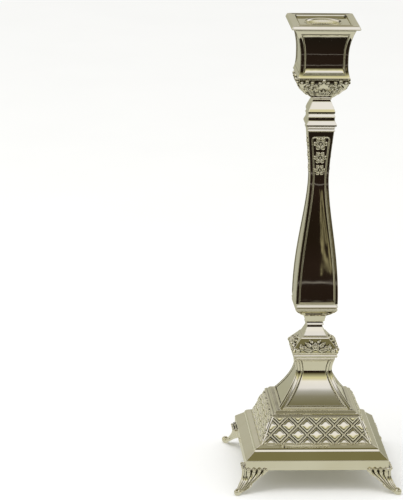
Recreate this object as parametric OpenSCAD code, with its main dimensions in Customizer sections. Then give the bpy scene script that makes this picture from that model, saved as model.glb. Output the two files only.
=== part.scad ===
// Square silver-plated candlestick, built as a stack of hollow pieces on one threaded rod.
// Millimetres, +Z up. The origin is on the vertical axis, at the surface that the feet stand on.

/* [Base] */
// Half width of the plinth's vertical skirt
plinth_half = 54; // [50:0.5:58]
// Height of the skirt's lower edge above the ground
skirt_z = 17; // [15:0.5:19]
// Height of the skirt's upper edge
skirt_top_z = 24.5; // [23:0.5:26]
// Height of the lattice band's lower edge
lattice_z = 33.5; // [32:0.5:35]
// Height of the lattice band's top, where the flared dome starts
dome_z = 56; // [55:0.5:58]
// Half width of the dome's narrow neck
dome_neck_half = 12.8; // [11.5:0.1:13.5]
// Height of the dome's top
dome_top_z = 91.5; // [90:0.5:93]
// Diamonds of the lattice along one side, counted on the lower row
lattice_cells = 5; // [4:1:6]

/* [Feet] */
// Reach of the toe's centre from the axis, along X and along Y
toe_reach = 60.4; // [59:0.1:62]
// Radius of the round toe
toe_r = 2.8; // [2.2:0.1:3.2]
// Length of each wing along the skirt, from the corner
wing_len = 20; // [18:1:24]

/* [Knop and stem] */
// Height of the knop's top
knop_top_z = 108.3; // [107:0.1:110]
// Half width of the knop's widest edge
knop_half = 17.5; // [16:0.1:18.5]
// Half width of the waist between the knop and the stem
waist_half = 6.1; // [5.6:0.1:6.4]
// Height of the waist spool's top
spool_top_z = 120; // [119:0.5:121]
// Height of the stem's lower end
stem_z = 133; // [132:0.5:134]
// Half width of the stem's widest place
stem_wide_half = 16.1; // [15:0.1:17]
// Half width of the stem's narrowest place
stem_narrow_half = 7.1; // [6.8:0.1:8]
// Height of the stem's narrowest place
stem_narrow_z = 231; // [225:1:237]
// Height of the stem's upper end
stem_top_z = 268.3; // [266:0.1:270]

/* [Cup] */
// Height of the cup bowl's lower end
bowl_z = 292.8; // [291:0.1:294]
// Height of the joint between the bowl and the cup
cup_z = 309.8; // [308:0.1:311]
// Height of the cup's rim
cup_top_z = 347.3; // [346:0.1:348]
// Half width of the cup's rim
cup_rim_half = 22.7; // [21:0.1:23]
// Half width of the cup's waist
cup_waist_half = 17.8; // [17:0.1:18.5]

/* [Nozzle] */
// Half width of the drip pan
pan_half = 25.7; // [24:0.1:26]
// Overall height of the candlestick, at the top of the pan's border
pan_top_z = 351; // [350:0.1:352]
// Radius of the candle socket
socket_r = 11.2; // [10.8:0.1:11.6]
// Straight depth of the candle socket
socket_depth = 20; // [16:0.5:21]

/* [Hardware] */
// Radius of the threaded rod
rod_r = 3; // [2.5:0.1:3.2]
// Wall of the hollow pieces
wall = 1.6; // [1.4:0.1:2]

/* [Hidden] */

silver = "silver";
steel = "slategray";
$fn = 48;

// Clearance of the rod in the pieces that it passes through
rod_gap = 0.2;
// Clearance of the rod in its nuts
thread_gap = 0.03;
// Gap between the lift-out nozzle and the cup that it rests in
lift_gap = 0.05;
// Depth of the sunk panels
panel_depth = 0.8;
// Overshoot of a cutting solid past the face that it cuts
cut = 1;

// Steps along a curved outline
steps = 14;

// Points of an outline between two half widths and heights; bend 1 is straight, above 1 stays at the start longer
function sweep_points(w0, z0, w1, z1, bend = 1, n = steps) =
    [for (i = [0 : n]) let (t = i / n) [w0 + (w1 - w0) * pow(t, bend), z0 + (z1 - z0) * t]];

// Points of an arc, as half width and height, from angle a0 to a1
function arc_points(w, z, r, a0, a1, n = 6) =
    [for (i = [0 : n]) let (a = a0 + (a1 - a0) * i / n) [w + r * cos(a), z + r * sin(a)]];

// The same outline moved towards the axis
function inset(points, by) = [for (p = points) [p[0] - by, p[1]]];

// The two ends of an outline made to run past their heights, for cutting right through
function overrun(points) = let (n = len(points) - 1)
    concat([[points[0][0], points[0][1] - cut]], points, [[points[n][0], points[n][1] + cut]]);

// A square moulding: the outline, from bottom to top, is followed by all four faces with mitred corners
module square_turning(points) {
    reach = max([for (p = points) p[0]]) + cut;
    n = len(points) - 1;
    section = concat(points, [for (i = [n : -1 : 0]) [-points[i][0], points[i][1]]]);
    intersection() {
        rotate([90, 0, 0])
            linear_extrude(2 * reach, center = true)
                polygon(section);
        rotate([90, 0, 90])
            linear_extrude(2 * reach, center = true)
                polygon(section);
    }
}

// The four faces of a square piece; children are drawn for the face towards -Y
module on_four_faces() {
    for (side = [0 : 3])
        rotate(90 * side)
            children();
}

// A panel sunk into each face: it lies between two heights, and its edges keep a border from the corners
module sunk_panels(points, low, high, border) {
    n = len(points) - 1;
    reach = max([for (p = points) p[0]]) + cut;
    floor_points = inset(points, panel_depth);
    outline = concat(inset(points, border), [for (i = [n : -1 : 0]) [border - points[i][0], points[i][1]]]);
    on_four_faces()
        difference() {
            intersection() {
                rotate([90, 0, 0])
                    linear_extrude(reach)
                        polygon(outline);
                translate([-reach, -reach, low])
                    cube([2 * reach, reach, high - low]);
            }
            rotate([90, 0, 90])
                linear_extrude(2 * reach, center = true)
                    polygon(concat(
                        [for (p = floor_points) [-p[0], p[1]]],
                        [[cut, points[n][1]], [cut, points[0][1]]]
                    ));
        }
}

// Places children on the face towards -Y of a moulding, sunk a little, and tilted up by lean degrees
module on_outline(points, z, lean, sink = 0) {
    translate([0, -lookup(z, [for (p = points) [p[1], p[0]]]), z])
        rotate([90 - lean, 0, 0])
            translate([0, 0, -sink])
                children();
}

// The hole that the rod passes through, between two heights
module rod_hole(low, high, r = rod_r + rod_gap) {
    translate([0, 0, low - cut])
        cylinder(h = high - low + 2 * cut, r = r);
}

// ---- Outlines of the mouldings, as half width and height, from bottom to top ----

cup_waist_z = 324.5;
cup_points = concat(
    [[19.2, cup_z]],
    sweep_points(19.5, cup_z + 0.4, cup_waist_half, cup_waist_z, 0.62),
    sweep_points(cup_waist_half, cup_waist_z, cup_rim_half, cup_top_z, 2.2)
);

bowl_widest_z = cup_z - 2.2;
bowl_points = concat(
    [for (i = [0 : 12]) let (t = i / 12)
        [19.4 - 11.5 * pow(1 - t, 1.55), bowl_z + (bowl_widest_z - bowl_z) * t]],
    [[19.2, cup_z - 0.9], [18.6, cup_z]]
);

neck_points = [
    [9.9, stem_top_z], [10.6, stem_top_z + 1.4], [10.2, stem_top_z + 2.8], [10.5, stem_top_z + 3.2],
    [11.4, stem_top_z + 4.2], [11.4, stem_top_z + 5], [10.4, stem_top_z + 6.4], [9.9, stem_top_z + 7.5],
    [9.9, stem_top_z + 12.5], [10.3, stem_top_z + 13.2], [10.3, stem_top_z + 15.2], [9.4, stem_top_z + 16],
    [8.9, stem_top_z + 18.2], [8.2, stem_top_z + 20.2], [7.4, stem_top_z + 21.6], [7.1, bowl_z - 2.2],
    [7.6, bowl_z - 1.6], [7.6, bowl_z]
];

stem_wide_z = 136;
stem_points = concat(
    [[15.6, stem_z]],
    arc_points(stem_wide_half - 0.9, stem_z + 1.4, 0.9, -60, 60, 4),
    [for (i = [0 : 20]) let (t = i / 20)
        [stem_wide_half - 0.2 - (stem_wide_half - 0.2 - stem_narrow_half) * (1 - cos(180 * (1 - pow(1 - t, 0.85)))) / 2,
         stem_wide_z + (stem_narrow_z - stem_wide_z) * t]],
    [for (i = [1 : 8]) let (t = i / 8)
        [stem_narrow_half + 2.7 * (1 - cos(90 * pow(t, 0.85))),
         stem_narrow_z + (stem_top_z - stem_narrow_z) * t]]
);

// Ovolo under the stem, rounding from the waist out to the groove
ovolo_z = stem_z - 1.8;
ovolo_half = 16;
stem_foot_points = concat(
    [for (i = [0 : 12]) let (t = i / 12)
        [ovolo_half - (ovolo_half - 7.2) * pow(1 - t, 1.75), spool_top_z + (ovolo_z - spool_top_z) * t]],
    [[15.7, stem_z - 1.1], [15.2, stem_z - 0.9], [15.2, stem_z - 0.4], [15.6, stem_z]]
);

spool_points = concat(
    [[9.2, knop_top_z], [9.2, knop_top_z + 0.7]],
    sweep_points(8.8, knop_top_z + 1, waist_half + 0.4, spool_top_z - 4.9, 0.7, 8),
    [[waist_half, spool_top_z - 4.5], [waist_half, spool_top_z - 3.3], [6.8, spool_top_z - 2.8]],
    [[6.8, spool_top_z - 1.8], [6.2, spool_top_z - 1.4], [6.2, spool_top_z - 0.9], [7.2, spool_top_z]]
);

knop_points = concat(
    [[14.6, dome_top_z], [15.2, dome_top_z + 0.6], [15.2, dome_top_z + 1.6]],
    arc_points(knop_half - 1.9, dome_top_z + 3.2, 1.2, -60, 60, 5),
    [[knop_half - 1.3, dome_top_z + 4.7]],
    arc_points(knop_half - 1.2, dome_top_z + 6, 1.2, -50, 10, 3),
    sweep_points(knop_half - 0.1, dome_top_z + 6.8, 10.2, knop_top_z - 0.8, 1.15, 10),
    [[9.8, knop_top_z]]
);

dome_neck_z = 82.5;
dome_foot_half = 27;
dome_foot_z = dome_z + 0.6;
dome_points = concat(
    [[29.6, dome_z], [29.8, dome_z + 0.3]],
    [for (i = [0 : 16]) let (t = i / 16)
        [dome_neck_half + (dome_foot_half - dome_neck_half) * pow(1 - t, 1.5),
         dome_foot_z + (dome_neck_z - dome_foot_z) * t]],
    [for (i = [1 : 6]) let (t = i / 6)
        [dome_neck_half + 2 * pow(t, 2), dome_neck_z + (dome_top_z - dome_neck_z) * t]]
);

lattice_top_z = 52.5;
lattice_top_half = 33;
lattice_half = 41.6;
lattice_points = [
    [lattice_half, lattice_z], [lattice_top_half, lattice_top_z], [33.2, lattice_top_z + 0.7],
    [32.6, lattice_top_z + 1.6], [31.4, lattice_top_z + 2], [30.2, dome_z]
];

plinth_points = [
    [plinth_half - 0.6, skirt_z], [plinth_half, skirt_z + 0.8], [plinth_half, skirt_top_z],
    [47.5, 29.4], [46.9, 31], [46.1, 31.8], [lattice_half + 0.6, lattice_z]
];

// ---- Nozzle: lifts out of the cup ----

pan_floor_z = pan_top_z - 1.8;
pan_under_z = cup_top_z + lift_gap;
pan_points = [
    [23.8, pan_under_z], [pan_half - 0.4, pan_under_z + 0.3], [pan_half, pan_under_z + 0.9],
    [pan_half - 0.7, pan_top_z - 0.5], [pan_half - 1.3, pan_top_z], [20.4, pan_top_z]
];
recess_points = [[18.3, pan_floor_z], [18.8, pan_floor_z + 0.4], [19.3, pan_top_z - 0.3], [19.5, pan_top_z + cut]];
socket_wall = 1.1;
socket_bottom = 1.5;

module nozzle_pan() {
    color(silver)
        difference() {
            square_turning(pan_points);
            square_turning(recess_points);
            translate([0, 0, pan_under_z - cut])
                cylinder(h = pan_top_z, r = socket_r + socket_wall);
        }
}

module nozzle_socket() {
    mouth_z = pan_floor_z - 0.9;
    low_z = mouth_z - socket_depth;
    color(silver)
        rotate_extrude()
            polygon([
                [0, low_z - socket_bottom], [socket_r + socket_wall, low_z - socket_bottom],
                [socket_r + socket_wall, pan_floor_z], [socket_r + 0.9, pan_floor_z],
                [socket_r + 0.35, mouth_z + 0.6], [socket_r, mouth_z], [socket_r, low_z], [0, low_z]
            ]);
}

skirt_half = 18;
spigot_z = 341;
module nozzle_skirt() {
    color(silver)
        difference() {
            translate([-skirt_half, -skirt_half, spigot_z])
                cube([2 * skirt_half, 2 * skirt_half, pan_under_z - spigot_z]);
            translate([0, 0, spigot_z - cut])
                linear_extrude(pan_under_z - spigot_z + 2 * cut)
                    square(2 * (skirt_half - 1), center = true);
        }
}

// ---- Cup ----

cup_wall = 1.9;
module cup_shell() {
    color(silver)
        difference() {
            square_turning(cup_points);
            square_turning(overrun(inset(cup_points, cup_wall)));
            sunk_panels(cup_points, cup_z + 3.2, cup_top_z - 4.4, 3);
        }
}

bowl_floor_z = bowl_z + 5;
bowl_inner_points = [
    [8, bowl_floor_z], [14.6, bowl_floor_z + 4.5], [16.6, bowl_floor_z + 8], [16.6, cup_z + cut]
];
module cup_bowl() {
    color(silver)
        difference() {
            union() {
                square_turning(bowl_points);
                on_four_faces()
                    shell_and_leaves();
            }
            square_turning(bowl_inner_points);
            rod_hole(bowl_z, bowl_floor_z);
        }
}

// Relief on one face of the bowl: a row of lobes round a half shell, and a bead row on the ledge
module shell_and_leaves() {
    shell_z = bowl_z + 5.5;
    for (lobe = [-70 : 35 : 70])
        translate([6 * sin(lobe), -16.2, shell_z + 2 + 5 * cos(lobe)])
            sphere(r = 1.9, $fn = 24);
    for (bead = [-1 : 0.5 : 1])
        translate([13.5 * bead, -18.2, cup_z - 1.1])
            sphere(r = 1, $fn = 24);
}

module cup_washer() {
    color(steel)
        difference() {
            translate([0, 0, bowl_floor_z])
                cylinder(h = 1.5, r = 7.4);
            rod_hole(bowl_floor_z, bowl_floor_z + 1.5);
        }
}

module hex_nut(low) {
    nut_h = 5;
    color(steel)
        difference() {
            translate([0, 0, low])
                cylinder(h = nut_h, r = 5.77, $fn = 6);
            rod_hole(low, low + nut_h, rod_r + thread_gap);
        }
}

module top_nut() {
    hex_nut(bowl_floor_z + 1.5);
}

// ---- Neck and stem ----

module neck() {
    color(silver)
        difference() {
            square_turning(neck_points);
            rod_hole(stem_top_z, bowl_z);
        }
}

stem_wall = 2.2;
module stem() {
    color(silver)
        difference() {
            square_turning(stem_points);
            square_turning(overrun(inset(stem_points, stem_wall)));
            sunk_panels(stem_points, stem_z + 4.5, stem_top_z - 4.6, 2.6);
        }
}

// Three rosettes down each face of the stem, each smaller than the one above
rosette_radii = [5.4, 5, 4.4];
rosette_heights = [258.4, 247.6, 237.9];
module rosette(r) {
    petals = 6;
    linear_extrude(0.7)
        for (petal = [0 : petals - 1])
            rotate(petal * 360 / petals)
                translate([0.62 * r, 0])
                    circle(r = 0.38 * r, $fn = 20);
    cylinder(h = 1, r = 0.34 * r);
}

module stem_rosettes() {
    lean = -4;
    color(silver)
        on_four_faces()
            for (i = [0 : 2])
                on_outline(stem_points, rosette_heights[i], lean, panel_depth)
                    rosette(rosette_radii[i]);
}

bush_h = 5;
module stem_bush(low, high) {
    inside = [for (p = inset(stem_points, stem_wall)) if (p[1] > low && p[1] < high) p];
    edge = [for (p = inset(stem_points, stem_wall)) [p[1], p[0]]];
    color(steel)
        difference() {
            square_turning(concat([[lookup(low, edge), low]], inside, [[lookup(high, edge), high]]));
            rod_hole(low, high);
        }
}

module stem_top_bush() {
    stem_bush(stem_top_z - bush_h, stem_top_z);
}

module stem_bottom_bush() {
    stem_bush(stem_z + 1.4, stem_z + 1.4 + bush_h);
}

module stem_foot() {
    color(silver)
        difference() {
            square_turning(stem_foot_points);
            rod_hole(spool_top_z, stem_z);
        }
}

// ---- Knop and base ----

module waist_spool() {
    color(silver)
        difference() {
            square_turning(spool_points);
            rod_hole(knop_top_z, spool_top_z);
        }
}

module knop() {
    color(silver)
        difference() {
            union() {
                square_turning(knop_points);
                on_four_faces()
                    knop_flower();
            }
            translate([0, 0, dome_top_z + 3])
                square_turning([[9, -4], [9, 0], [5, 9]]);
            rod_hole(dome_top_z, knop_top_z);
        }
}

// Relief on one face of the knop: a round flower and a leaf on either side
module knop_flower() {
    lean = 30;
    sink = 0.8;
    on_outline(knop_points, knop_top_z - 5.8, lean, sink) {
        cylinder(h = sink + 0.8, r = 3.4);
        for (side = [-1, 1])
            translate([7 * side, -2.6, 0])
                cylinder(h = sink + 0.5, r = 2.2);
    }
}

module base_dome() {
    color(silver)
        difference() {
            square_turning(dome_points);
            square_turning(concat(
                [[dome_foot_half - wall, dome_z - cut]],
                [for (p = dome_points) if (p[1] > dome_z + 0.5 && p[1] < dome_top_z - 3) [p[0] - wall, p[1]]]
            ));
            rod_hole(dome_top_z - 4, dome_top_z);
        }
}

flange_h = 1.5;
flange_half = 24;
diamond_sink = 0.4;
diamond_h = 1.3;
slope_len = norm([lattice_half - lattice_top_half, lattice_top_z - lattice_z]);
slope_angle = atan2(lattice_top_z - lattice_z, lattice_half - lattice_top_half);
module lattice_band() {
    color(silver)
        difference() {
            union() {
                square_turning(lattice_points);
                on_four_faces()
                    translate([0, -lattice_half, lattice_z])
                        rotate([slope_angle, 0, 0])
                            translate([0, 0, -diamond_sink])
                                lattice_diamonds();
            }
            square_turning([
                [lattice_half - wall, lattice_z - cut], [lattice_half - wall, lattice_z],
                [lattice_top_half - 2 * wall, dome_z - flange_h]
            ]);
            translate([0, 0, dome_z - 2 * flange_h])
                linear_extrude(3 * flange_h)
                    square(2 * flange_half, center = true);
        }
}

// Raised diamonds of one side, in the plane of the slope, with the narrow gaps between them as the lattice
module lattice_diamonds() {
    cell_w = 2 * lattice_half / (lattice_cells + 1);
    cell_h = slope_len * 2 / 3;
    rib = 1.6;
    linear_extrude(diamond_sink + diamond_h)
        intersection() {
            polygon([
                [1 - lattice_half, 0.6], [lattice_half - 1, 0.6],
                [lattice_top_half - 1, slope_len - 0.4], [1 - lattice_top_half, slope_len - 0.4]
            ]);
            for (row = [0 : 3])
                for (col = [-lattice_cells : lattice_cells])
                    translate([(col + 0.5 * (row % 2)) * cell_w, row * cell_h / 2])
                        polygon([
                            [cell_w / 2 - rib, 0], [0, cell_h / 2 - rib], [rib - cell_w / 2, 0], [0, rib - cell_h / 2]
                        ]);
        }
}

module plinth() {
    color(silver)
        difference() {
            square_turning(plinth_points);
            square_turning([
                [plinth_half - wall, skirt_z - cut], [plinth_half - wall, skirt_top_z - 0.5],
                [46, 28.4], [lattice_half - wall, 31.6], [lattice_half - wall, lattice_z + cut]
            ]);
        }
}

// ---- Feet ----

// A splayed corner foot: the wings' and the leg's outline, seen square on, is the same along both sides
module foot() {
    top = skirt_z + 1.8;
    leg_wall = 2.4;
    outer = [
        [plinth_half + 1.2, top], [plinth_half + 0.9, 14], [plinth_half + 1.6, 10.5], [plinth_half + 3.4, 6.5],
        [toe_reach - 0.8, 3.4]
    ];
    inner = [
        [toe_reach - 2.6, 0.8], [plinth_half + 0.4, 2.8], [plinth_half - 4, 6.6],
        [plinth_half - 9, 11], [plinth_half + 5 - wing_len, 14.9], [plinth_half + 1 - wing_len, skirt_z - 0.6],
        [plinth_half + 1 - wing_len, top]
    ];
    reach = 2 * plinth_half;
    color(silver)
        union() {
            difference() {
                intersection() {
                    translate([0, reach, 0])
                        rotate([90, 0, 0])
                            linear_extrude(reach)
                                polygon(concat(outer, inner));
                    rotate([90, 0, 90])
                        linear_extrude(reach)
                            polygon(concat(outer, inner));
                }
                foot_hollow([for (p = outer) [p[0] - leg_wall, p[1]]], top);
                translate([0, 0, skirt_z])
                    cube([plinth_half, plinth_half, 2 * cut]);
            }
            translate([toe_reach, toe_reach, toe_r - 0.3])
                intersection() {
                    sphere(r = toe_r);
                    translate([-toe_r, -toe_r, 0.3 - toe_r])
                        cube(2 * toe_r);
                }
        }
}

// The space inside the foot's two wings
module foot_hollow(edge, top) {
    low_z = 5.5;
    outline = concat(
        [[0, top + cut], [edge[0][0], top + cut]],
        [for (p = edge) if (p[1] > low_z) p],
        [[edge[3][0] - 1.2, low_z], [0, low_z]]
    );
    reach = 2 * plinth_half;
    intersection() {
        translate([0, reach, 0])
            rotate([90, 0, 0])
                linear_extrude(reach + cut)
                    polygon(outline);
        translate([-cut, 0, 0])
            rotate([90, 0, 90])
                linear_extrude(reach + cut)
                    polygon(outline);
    }
}

module foot_front_right() {
    rotate(-90)
        foot();
}

module foot_front_left() {
    rotate(180)
        foot();
}

module foot_back_left() {
    rotate(90)
        foot();
}

module foot_back_right() {
    foot();
}

// ---- Rod and its plates, washers and nuts ----

plate_h = 1.6;
washer_h = 1.4;
nut_z = dome_z - flange_h - plate_h - washer_h - 5;
module tie_rod() {
    low = nut_z - 3;
    high = bowl_floor_z + 9;
    color(steel)
        translate([0, 0, low])
            cylinder(h = high - low, r = rod_r);
}

module bridge_plate() {
    low = dome_z - flange_h - plate_h;
    color(steel)
        difference() {
            translate([-26.5, -26.5, low])
                cube([53, 53, plate_h]);
            rod_hole(low, low + plate_h);
        }
}

module bottom_washer() {
    low = dome_z - flange_h - plate_h - washer_h;
    color(steel)
        difference() {
            translate([0, 0, low])
                cylinder(h = washer_h, r = 9);
            rod_hole(low, low + washer_h);
        }
}

module bottom_nut() {
    hex_nut(nut_z);
}

nozzle_pan();
nozzle_socket();
nozzle_skirt();
cup_shell();
cup_bowl();
cup_washer();
top_nut();
neck();
stem();
stem_rosettes();
stem_top_bush();
stem_bottom_bush();
stem_foot();
waist_spool();
knop();
base_dome();
lattice_band();
plinth();
foot_front_right();
foot_front_left();
foot_back_left();
foot_back_right();
tie_rod();
bridge_plate();
bottom_washer();
bottom_nut();
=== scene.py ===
import math

import bpy
import numpy as np
from mathutils import Matrix, Vector


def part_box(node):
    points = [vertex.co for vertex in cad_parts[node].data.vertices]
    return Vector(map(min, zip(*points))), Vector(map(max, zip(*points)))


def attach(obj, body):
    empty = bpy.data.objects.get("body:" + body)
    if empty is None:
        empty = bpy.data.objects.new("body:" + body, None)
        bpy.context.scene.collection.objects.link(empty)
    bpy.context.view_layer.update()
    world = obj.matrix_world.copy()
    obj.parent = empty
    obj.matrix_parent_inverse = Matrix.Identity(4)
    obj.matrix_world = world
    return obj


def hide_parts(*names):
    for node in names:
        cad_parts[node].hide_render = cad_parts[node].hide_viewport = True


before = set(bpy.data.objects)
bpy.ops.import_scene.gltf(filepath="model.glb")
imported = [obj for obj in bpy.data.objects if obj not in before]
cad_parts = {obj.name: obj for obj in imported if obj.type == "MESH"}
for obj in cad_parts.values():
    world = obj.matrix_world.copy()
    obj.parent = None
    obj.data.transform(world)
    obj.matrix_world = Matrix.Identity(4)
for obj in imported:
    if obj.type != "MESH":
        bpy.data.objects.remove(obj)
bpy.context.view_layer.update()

# Plinth: the lowest casting, a hollow square ring with a plain skirt, a broad bevel, a small bright step and a
# slope. It is cast brass, mitred and filed at the corners, then polished and silver plated with the whole stick,
# so it carries the plate's finish: mirror bright, a little warm, with faint buffing marks, and dull corners
# darkened with painted shade and some tarnished silver.

MM = 0.001


class Shade:
    """A socket in a finish's node tree. Sums between sockets and numbers add their own Math nodes."""

    def __init__(self, tree, socket=None):
        self.tree, self.socket = tree, socket

    def add(self, kind, settings=(), out=0, **inputs):
        """Adds a node: first its settings, then its inputs, named with _ for a space, or i0, i1 for a place."""
        node = self.tree.nodes.new("ShaderNode" + kind)
        for key, value in dict(settings).items():
            if key == "stops":
                elements = node.color_ramp.elements
                while len(elements) < len(value):
                    elements.new(0.5)
                for element, (place, colour) in zip(elements, value):
                    element.position = place
                    element.color = (*colour, 1)
            else:
                setattr(node, key, value)
        for key, value in inputs.items():
            place = int(key[1:]) if key[1:].isdigit() else key.replace("_", " ")
            if isinstance(value, Shade):
                self.tree.links.new(value.socket, node.inputs[place])
            else:
                node.inputs[place].default_value = value
        return Shade(self.tree, node.outputs[out]) if node.outputs else node

    def maths(self, operation, a, b=0.0):
        return self.add("Math", {"operation": operation}, i0=a, i1=b)

    def __add__(self, other):
        return self.maths("ADD", self, other)

    def __sub__(self, other):
        return self.maths("SUBTRACT", self, other)

    def __rsub__(self, other):
        return self.maths("SUBTRACT", other, self)

    def __mul__(self, other):
        return self.maths("MULTIPLY", self, other)

    def __truediv__(self, other):
        return self.maths("DIVIDE", self, other)

    __radd__ = __add__
    __rmul__ = __mul__

    def blend(self, low, high):
        """The colour between two, by this number; each is a colour or a socket."""
        low, high = ((*c, 1) if isinstance(c, tuple) else c for c in (low, high))
        return self.add("Mix", {"data_type": "RGBA"}, out=2, i0=self, i6=low, i7=high)

    def between(self, low, high):
        """This number's run from low to high, eased into 0 to 1."""
        eased = {"interpolation_type": "SMOOTHSTEP"}
        return self.add("MapRange", eased, Value=self, From_Min=low, From_Max=high)

    def stretched(self, x, y, z):
        """This place, stretched along its axes."""
        return self.add("VectorMath", {"operation": "MULTIPLY"}, i0=self, i1=(x, y, z))


def new_finish(name):
    """An empty finish: the material, its shader, and the place on the piece that its patterns follow."""
    finish = bpy.data.materials.new(name)
    finish.use_nodes = True
    place = Shade(finish.node_tree).add("TexCoord", out=3)
    return finish, finish.node_tree.nodes["Principled BSDF"], place


def feed(shader, **inputs):
    """Links or sets the shader's inputs, named with _ for a space."""
    for key, value in inputs.items():
        socket = shader.inputs[key.replace("_", " ")]
        if isinstance(value, Shade):
            value.tree.links.new(value.socket, socket)
        else:
            socket.default_value = value


def silver_plate(name, dullness, turning):
    """Silver plate: dullness is its least roughness, and turning stretches its marks along x, y and z. Its
    hollows are darkened with painted shade, partly tarnished silver.
    """
    # The third colour, near black, is painted shade for the hollows, with some tarnished silver in it.
    bright, warm, hollow_shade_and_tarnish = (0.94, 0.92, 0.85), (0.89, 0.86, 0.76), (0.025, 0.020, 0.012)
    finish, shader, place = new_finish(name)
    clouds = place.add("TexNoise", Vector=place, Scale=26.0, Detail=3.0)
    hollow_edge_noise = place.add("TexNoise", Vector=place, Scale=420.0, Detail=4.0)
    hollow = place.add("Attribute", {"attribute_name": "hollow"}, out=2)
    # Grooves are darkened almost to black, which is painted shade with some tarnished silver, and they are made
    # rougher too. A fine noise breaks the edge of the painted shade.
    shaded_hollow = (hollow + hollow_edge_noise * 0.04 - 0.02).between(0.035, 0.13)
    body = clouds.between(0.38, 0.72).blend(bright, warm)
    smears = place.add("TexNoise", Vector=place, Scale=75.0, Detail=5.0)
    marks = place.add("TexNoise", Vector=place.stretched(*turning), Scale=1.0, Detail=2.0)
    scratches = marks.between(0.62, 0.80)
    roughness = smears.between(0.35, 0.8) * 0.03 + scratches * 0.05 + shaded_hollow * 0.20 + dullness
    waves = place.add("TexNoise", Vector=place, Scale=60.0, Detail=1.0)
    ripples = place.add("Bump", Strength=0.06, Distance=0.001, Height=waves + marks * 0.012)
    feed(shader, Base_Color=(shaded_hollow * 0.96).blend(body, hollow_shade_and_tarnish), Metallic=1.0, Roughness=roughness, Normal=ripples)
    return finish


silver = silver_plate("silver_plate", dullness=0.035, turning=(1500, 1500, 90))


def rounded(*corners):
    """An outline in mm, as rows of half width and height. A corner's third number is its rounding radius."""
    path = [Vector(corners[0][:2])]
    for before, corner, after in zip(corners, corners[1:], corners[2:]):
        here = Vector(corner[:2])
        back, ahead = Vector(before[:2]) - here, Vector(after[:2]) - here
        turn = math.pi - back.angle(ahead)
        if len(corner) < 3 or turn < 0.03:
            path.append(here)
            continue
        reach = min(corner[2] * math.tan(turn / 2), 0.48 * back.length, 0.48 * ahead.length)
        radius = reach / math.tan(turn / 2)
        start, end = back.normalized() * reach, ahead.normalized() * reach
        centre = (start + end).normalized() * radius / math.cos(turn / 2)
        count = max(3, math.ceil(turn / math.radians(14)))
        for t in np.linspace(0, 1, count + 1):
            arm = (start - centre) * math.sin((1 - t) * turn) + (end - centre) * math.sin(t * turn)
            path.append(here + centre + arm / math.sin(turn))
    path.append(Vector(corners[-1][:2]))
    return np.array(path)


def spaced(path, step, hold=0.15):
    """The outline with its long stretches cut to about step, and a point close to each end of them."""
    points = [path[0]]
    for a, b in zip(path, path[1:]):
        length = np.linalg.norm(b - a)
        cuts = set(np.linspace(0, 1, max(1, math.ceil(length / step)) + 1)[1:])
        if length > 4 * hold:
            cuts |= {hold / length, 1 - hold / length}
        points += [a + (b - a) * t for t in sorted(cuts)]
    return np.array(points)


def grid_faces(rows, columns, closed_rows=True, closed_columns=True):
    """Four-sided faces of a grid of points, row after row."""
    r, c = np.meshgrid(
        np.arange(rows if closed_rows else rows - 1), np.arange(columns if closed_columns else columns - 1),
        indexing="ij",
    )
    r2, c2 = (r + 1) % rows, (c + 1) % columns
    corners = [r * columns + c, r * columns + c2, r2 * columns + c2, r2 * columns + c]
    return np.stack(corners, axis=2).reshape(-1, 4)


def square_piece(section, arris, marks=(), across=6, relief=None, rows=0, closed=True, roundness=None):
    """Points and faces of a square piece: its section, half width and height in mm, is followed round the square.

    arris is the radius of the upright edges. marks are distances from them that get a line of points, with across
    cells between the last two. relief(x, along, half, height) is how far ornament stands out of the first rows
    points of the section. roundness, a number for each point, draws the square out into a circle.
    """
    half, height = section.T
    ahead = np.roll(section, -1, 0) - section
    behind = section - np.roll(section, 1, 0)
    if not closed:
        ahead[-1], behind[0] = behind[-1], ahead[0]
    tangent = sum(step / (np.linalg.norm(step, axis=1, keepdims=True) + 1e-9) for step in (ahead, behind))
    tangent /= np.linalg.norm(tangent, axis=1, keepdims=True) + 1e-9

    lines = np.array([arris, *marks], float)
    shrink = np.minimum(1, 0.85 * half / lines[-1])[:, None]
    near = half[:, None] - lines * shrink
    middle = near[:, -1:] * np.linspace(-1, 1, across + 1)[1:-1]
    x = np.hstack([-near, middle, near[:, ::-1]])
    y = np.repeat(-half[:, None], x.shape[1], 1)
    z = np.repeat(height[:, None], x.shape[1], 1)
    if relief is not None:
        along = np.concatenate([[0], np.cumsum(np.linalg.norm(np.diff(section[:rows], axis=0), axis=1))])
        stand = relief(x[:rows], along[:, None], half[:rows, None], height[:rows, None])
        stand = stand * np.clip((half[:rows, None] - np.abs(x[:rows]) - arris) / 0.5, 0, 1)
        y[:rows] -= stand * tangent[:rows, 1:]
        z[:rows] -= stand * tangent[:rows, :1]
    turn = np.radians(np.linspace(-90, 0, 5)[1:-1])
    radius = arris * shrink
    corner_x = half[:, None] - radius + radius * np.cos(turn)
    corner_y = radius - half[:, None] + radius * np.sin(turn)
    corner_z = np.repeat(height[:, None], len(turn), 1)
    x, y, z = np.hstack([x, corner_x]), np.hstack([y, corner_y]), np.hstack([z, corner_z])
    sides = [(x, y), (-y, x), (-x, -y), (y, -x)]
    grid = np.stack([
        np.hstack([side[0] for side in sides]), np.hstack([side[1] for side in sides]), np.hstack([z] * 4),
    ], axis=2)
    if roundness is not None:
        share = np.asarray(roundness, float)[:, None, None]
        distance = np.linalg.norm(grid[..., :2], axis=2, keepdims=True) + 1e-9
        circle = grid[..., :2] / distance * half[:, None, None]
        grid[..., :2] = grid[..., :2] * (1 - share) + circle * share
    return grid.reshape(-1, 3), grid_faces(*grid.shape[:2], closed)


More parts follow.
